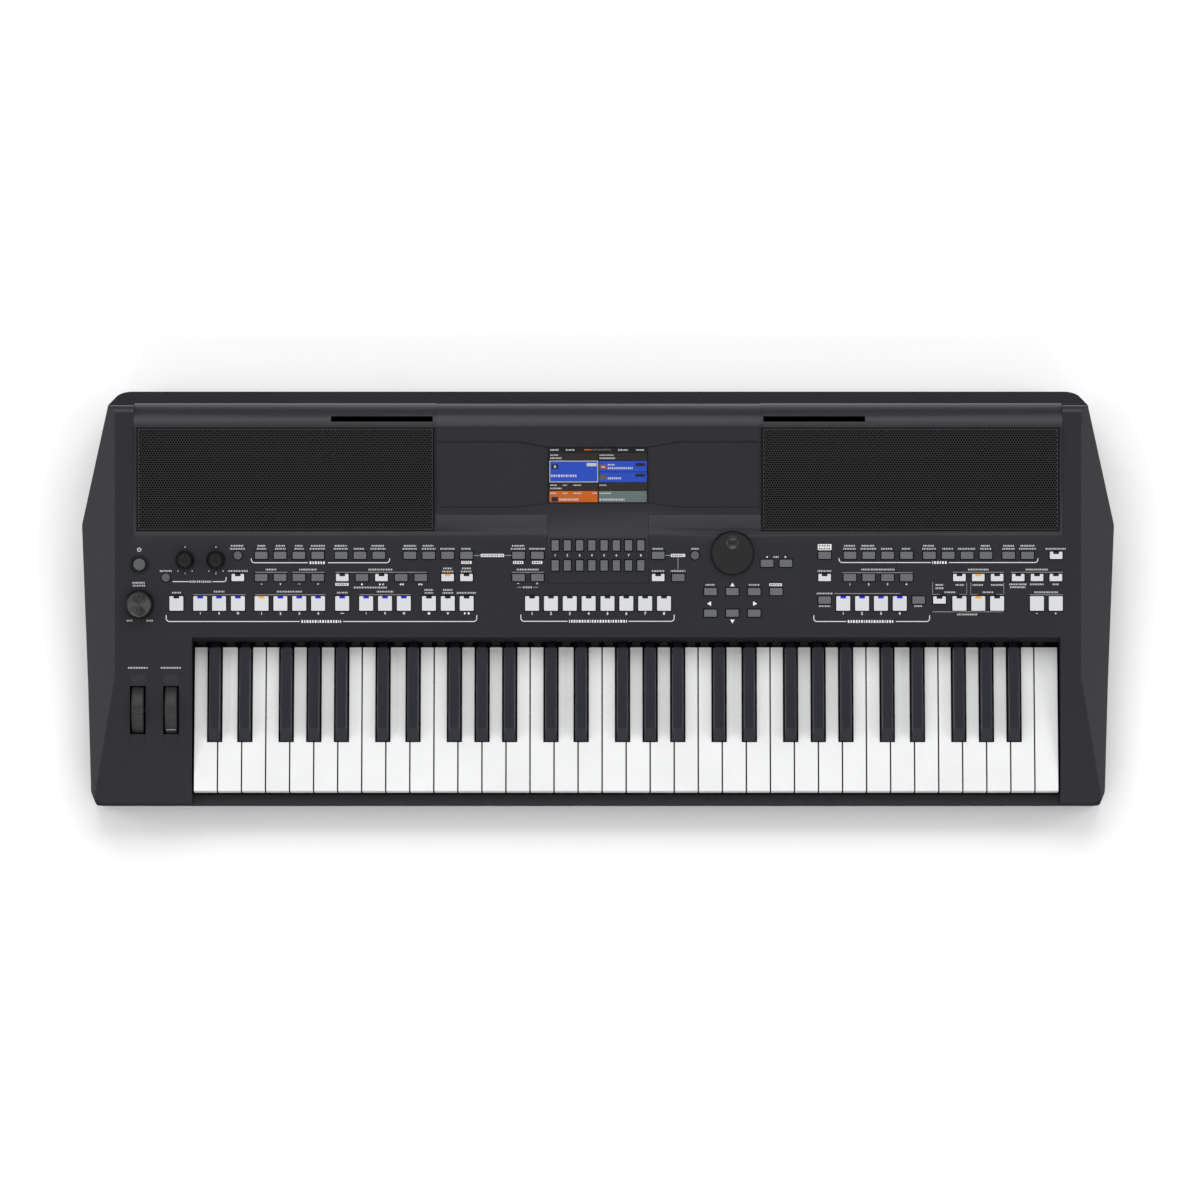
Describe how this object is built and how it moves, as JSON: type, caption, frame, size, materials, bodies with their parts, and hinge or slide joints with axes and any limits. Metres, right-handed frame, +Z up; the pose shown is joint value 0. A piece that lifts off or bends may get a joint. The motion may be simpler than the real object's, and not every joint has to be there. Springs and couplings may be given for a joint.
{
  "type": "arranger keyboard",
  "caption": "Electronic arranger keyboard with hinged piano keys, sloping button panel, colour display, two grilled speakers, knobs, wheels and rear jacks.",
  "frame": {"origin": "on the table under the middle of the case", "axes": "+X to the player's right, +Y to the rear, +Z up"},
  "size_m": [1.0038, 0.41, 0.1338],
  "materials": {
    "case": "fine moulded texture, satin",
    "white_key": "polished",
    "black_key": "fine satin",
    "steel": "bright",
    "chassis": "moulded",
    "felt": "felt",
    "circuit_board": "lacquered",
    "contact_rubber": "soft",
    "foot_rubber": "matt",
    "window": "clear",
    "screen": "lit panel",
    "grille": "black powder coat",
    "basket": "black",
    "cone": "paper",
    "socket": "moulded",
    "grey_button": "satin",
    "pale_button": "satin",
    "knob": "satin",
    "wheel": "matt"
  },
  "bodies": {
    "case": {"upper_case": "case", "lower_case": "case", "key_pivot_rod": "steel", "key_frame": "chassis", "key_felt": "felt", "key_contact_board": "circuit_board", "rubber_contacts": "contact_rubber", "display_housing": "case", "display_window": "window", "display_module": "screen", "speaker_grille_left": "grille", "speaker_grille_right": "grille", "speaker_drivers": "basket", "speaker_cones": "cone", "panel_boards": "circuit_board", "wheel_bracket": "case", "jack_plate": "case", "phone_jacks": "socket", "rear_sockets": "socket", "jack_board": "circuit_board", "main_board": "circuit_board", "amplifier_board": "circuit_board", "rubber_feet": "foot_rubber", "case_screws": "steel"},
    "white_keys_c": {"white_keys_c": "white_key"},
    "white_keys_d": {"white_keys_d": "white_key"},
    "white_keys_e": {"white_keys_e": "white_key"},
    "white_keys_f": {"white_keys_f": "white_key"},
    "white_keys_g": {"white_keys_g": "white_key"},
    "white_keys_a": {"white_keys_a": "white_key"},
    "white_keys_b": {"white_keys_b": "white_key"},
    "white_key_top_c": {"white_key_top_c": "white_key"},
    "black_keys_c_sharp": {"black_keys_c_sharp": "black_key"},
    "black_keys_d_sharp": {"black_keys_d_sharp": "black_key"},
    "black_keys_f_sharp": {"black_keys_f_sharp": "black_key"},
    "black_keys_g_sharp": {"black_keys_g_sharp": "black_key"},
    "black_keys_a_sharp": {"black_keys_a_sharp": "black_key"},
    "style_buttons": {"style_buttons": "grey_button"},
    "song_mixer_buttons": {"song_mixer_buttons": "grey_button"},
    "tempo_bank_buttons": {"tempo_bank_buttons": "grey_button"},
    "song_transport_buttons": {"song_transport_buttons": "grey_button"},
    "voice_buttons": {"voice_buttons": "grey_button"},
    "one_touch_buttons": {"one_touch_buttons": "grey_button"},
    "navigation_buttons": {"navigation_buttons": "grey_button"},
    "round_buttons": {"round_buttons": "grey_button"},
    "power_button": {"power_button": "grey_button"},
    "screen_buttons": {"screen_buttons": "grey_button"},
    "style_control_buttons": {"style_control_buttons": "pale_button"},
    "registration_buttons": {"registration_buttons": "pale_button"},
    "multi_pad_buttons": {"multi_pad_buttons": "pale_button"},
    "part_switch_buttons": {"part_switch_buttons": "pale_button"},
    "lamp_buttons": {"lamp_buttons": "pale_button"},
    "volume_knob": {"volume_knob": "knob"},
    "live_control_knob_1": {"live_control_knob_1": "knob"},
    "live_control_knob_2": {"live_control_knob_2": "knob"},
    "data_dial": {"data_dial": "knob"},
    "gain_knob": {"gain_knob": "knob"},
    "pitch_wheel": {"pitch_wheel": "wheel"},
    "modulation_wheel": {"modulation_wheel": "wheel"}
  },
  "joints": [
    {"name": "white_keys_c_press", "type": "hinge", "parent": "case", "child": "white_keys_c", "pos_m": [0.0273, 0.012, 0.048], "axis": [1, 0, 0], "range_deg": [0, 2.75], "stiffness_Nm_per_rad": 3.8, "springref_deg": -7.45},
    {"name": "white_keys_d_press", "type": "hinge", "parent": "case", "child": "white_keys_d", "pos_m": [0.0273, 0.012, 0.048], "axis": [1, 0, 0], "range_deg": [0, 2.75], "stiffness_Nm_per_rad": 3.8, "springref_deg": -7.45},
    {"name": "white_keys_e_press", "type": "hinge", "parent": "case", "child": "white_keys_e", "pos_m": [0.0273, 0.012, 0.048], "axis": [1, 0, 0], "range_deg": [0, 2.75], "stiffness_Nm_per_rad": 3.8, "springref_deg": -7.45},
    {"name": "white_keys_f_press", "type": "hinge", "parent": "case", "child": "white_keys_f", "pos_m": [0.0273, 0.012, 0.048], "axis": [1, 0, 0], "range_deg": [0, 2.75], "stiffness_Nm_per_rad": 3.8, "springref_deg": -7.45},
    {"name": "white_keys_g_press", "type": "hinge", "parent": "case", "child": "white_keys_g", "pos_m": [0.0273, 0.012, 0.048], "axis": [1, 0, 0], "range_deg": [0, 2.75], "stiffness_Nm_per_rad": 3.8, "springref_deg": -7.45},
    {"name": "white_keys_a_press", "type": "hinge", "parent": "case", "child": "white_keys_a", "pos_m": [0.0273, 0.012, 0.048], "axis": [1, 0, 0], "range_deg": [0, 2.75], "stiffness_Nm_per_rad": 3.8, "springref_deg": -7.45},
    {"name": "white_keys_b_press", "type": "hinge", "parent": "case", "child": "white_keys_b", "pos_m": [0.0273, 0.012, 0.048], "axis": [1, 0, 0], "range_deg": [0, 2.75], "stiffness_Nm_per_rad": 3.8, "springref_deg": -7.45},
    {"name": "white_key_top_c_press", "type": "hinge", "parent": "case", "child": "white_key_top_c", "pos_m": [0.0273, 0.012, 0.048], "axis": [1, 0, 0], "range_deg": [0, 2.75], "stiffness_Nm_per_rad": 0.76, "springref_deg": -7.45},
    {"name": "black_keys_c_sharp_press", "type": "hinge", "parent": "case", "child": "black_keys_c_sharp", "pos_m": [0.0273, 0.012, 0.048], "axis": [1, 0, 0], "range_deg": [0, 2.75], "stiffness_Nm_per_rad": 3.8, "springref_deg": -7.45},
    {"name": "black_keys_d_sharp_press", "type": "hinge", "parent": "case", "child": "black_keys_d_sharp", "pos_m": [0.0273, 0.012, 0.048], "axis": [1, 0, 0], "range_deg": [0, 2.75], "stiffness_Nm_per_rad": 3.8, "springref_deg": -7.45},
    {"name": "black_keys_f_sharp_press", "type": "hinge", "parent": "case", "child": "black_keys_f_sharp", "pos_m": [0.0273, 0.012, 0.048], "axis": [1, 0, 0], "range_deg": [0, 2.75], "stiffness_Nm_per_rad": 3.8, "springref_deg": -7.45},
    {"name": "black_keys_g_sharp_press", "type": "hinge", "parent": "case", "child": "black_keys_g_sharp", "pos_m": [0.0273, 0.012, 0.048], "axis": [1, 0, 0], "range_deg": [0, 2.75], "stiffness_Nm_per_rad": 3.8, "springref_deg": -7.45},
    {"name": "black_keys_a_sharp_press", "type": "hinge", "parent": "case", "child": "black_keys_a_sharp", "pos_m": [0.0273, 0.012, 0.048], "axis": [1, 0, 0], "range_deg": [0, 2.75], "stiffness_Nm_per_rad": 3.8, "springref_deg": -7.45},
    {"name": "style_buttons_press", "type": "slide", "parent": "case", "child": "style_buttons", "axis": [0, 0.1908, -0.9816], "range_m": [0, 0.0008], "stiffness_N_per_m": 2000, "springref_m": -0.0006},
    {"name": "song_mixer_buttons_press", "type": "slide", "parent": "case", "child": "song_mixer_buttons", "axis": [0, 0.1908, -0.9816], "range_m": [0, 0.0008], "stiffness_N_per_m": 2000, "springref_m": -0.0006},
    {"name": "tempo_bank_buttons_press", "type": "slide", "parent": "case", "child": "tempo_bank_buttons", "axis": [0, 0.1908, -0.9816], "range_m": [0, 0.0008], "stiffness_N_per_m": 2000, "springref_m": -0.0006},
    {"name": "song_transport_buttons_press", "type": "slide", "parent": "case", "child": "song_transport_buttons", "axis": [0, 0.1908, -0.9816], "range_m": [0, 0.0008], "stiffness_N_per_m": 2000, "springref_m": -0.0006},
    {"name": "voice_buttons_press", "type": "slide", "parent": "case", "child": "voice_buttons", "axis": [0, 0.1908, -0.9816], "range_m": [0, 0.0008], "stiffness_N_per_m": 2000, "springref_m": -0.0006},
    {"name": "one_touch_buttons_press", "type": "slide", "parent": "case", "child": "one_touch_buttons", "axis": [0, 0.1908, -0.9816], "range_m": [0, 0.0008], "stiffness_N_per_m": 2000, "springref_m": -0.0006},
    {"name": "navigation_buttons_press", "type": "slide", "parent": "case", "child": "navigation_buttons", "axis": [0, 0.1908, -0.9816], "range_m": [0, 0.0008], "stiffness_N_per_m": 2000, "springref_m": -0.0006},
    {"name": "round_buttons_press", "type": "slide", "parent": "case", "child": "round_buttons", "axis": [0, 0.1908, -0.9816], "range_m": [0, 0.0008], "stiffness_N_per_m": 2000, "springref_m": -0.0006},
    {"name": "power_button_press", "type": "slide", "parent": "case", "child": "power_button", "axis": [0, 0.1908, -0.9816], "range_m": [0, 0.0008], "stiffness_N_per_m": 2000, "springref_m": -0.0006},
    {"name": "screen_buttons_press", "type": "slide", "parent": "case", "child": "screen_buttons", "axis": [0, 0.1908, -0.9816], "range_m": [0, 0.0008], "stiffness_N_per_m": 2000, "springref_m": -0.0006},
    {"name": "style_control_buttons_press", "type": "slide", "parent": "case", "child": "style_control_buttons", "axis": [0, 0.1908, -0.9816], "range_m": [0, 0.0008], "stiffness_N_per_m": 2000, "springref_m": -0.0006},
    {"name": "registration_buttons_press", "type": "slide", "parent": "case", "child": "registration_buttons", "axis": [0, 0.1908, -0.9816], "range_m": [0, 0.0008], "stiffness_N_per_m": 2000, "springref_m": -0.0006},
    {"name": "multi_pad_buttons_press", "type": "slide", "parent": "case", "child": "multi_pad_buttons", "axis": [0, 0.1908, -0.9816], "range_m": [0, 0.0008], "stiffness_N_per_m": 2000, "springref_m": -0.0006},
    {"name": "part_switch_buttons_press", "type": "slide", "parent": "case", "child": "part_switch_buttons", "axis": [0, 0.1908, -0.9816], "range_m": [0, 0.0008], "stiffness_N_per_m": 2000, "springref_m": -0.0006},
    {"name": "lamp_buttons_press", "type": "slide", "parent": "case", "child": "lamp_buttons", "axis": [0, 0.1908, -0.9816], "range_m": [0, 0.0008], "stiffness_N_per_m": 2000, "springref_m": -0.0006},
    {"name": "volume_knob_turn", "type": "hinge", "parent": "case", "child": "volume_knob", "pos_m": [-0.4442, -0.01648, 0.09606], "axis": [0, -0.1908, 0.9816], "range_deg": [-140, 140]},
    {"name": "live_control_knob_1_turn", "type": "hinge", "parent": "case", "child": "live_control_knob_1", "pos_m": [-0.3999, 0.02573, 0.10427], "axis": [0, -0.1908, 0.9816], "range_deg": [-140, 140]},
    {"name": "live_control_knob_2_turn", "type": "hinge", "parent": "case", "child": "live_control_knob_2", "pos_m": [-0.37, 0.02573, 0.10427], "axis": [0, -0.1908, 0.9816], "range_deg": [-140, 140]},
    {"name": "data_dial_turn", "type": "hinge", "parent": "case", "child": "data_dial", "pos_m": [0.1302, 0.0324, 0.10556], "axis": [0, -0.1908, 0.9816], "continuous": true},
    {"name": "gain_knob_turn", "type": "hinge", "parent": "case", "child": "gain_knob", "pos_m": [-0.408, 0.1952, 0.0233], "axis": [0, 1, 0], "range_deg": [-140, 140]},
    {"name": "pitch_wheel_turn", "type": "hinge", "parent": "case", "child": "pitch_wheel", "pos_m": [-0.4458, -0.11385, 0.06135], "axis": [-1, 0, 0], "range_deg": [-40, 40], "stiffness_Nm_per_rad": 0.06},
    {"name": "modulation_wheel_turn", "type": "hinge", "parent": "case", "child": "modulation_wheel", "pos_m": [-0.4136, -0.11385, 0.06135], "axis": [-1, 0, 0], "range_deg": [0, 70]}
  ]
}
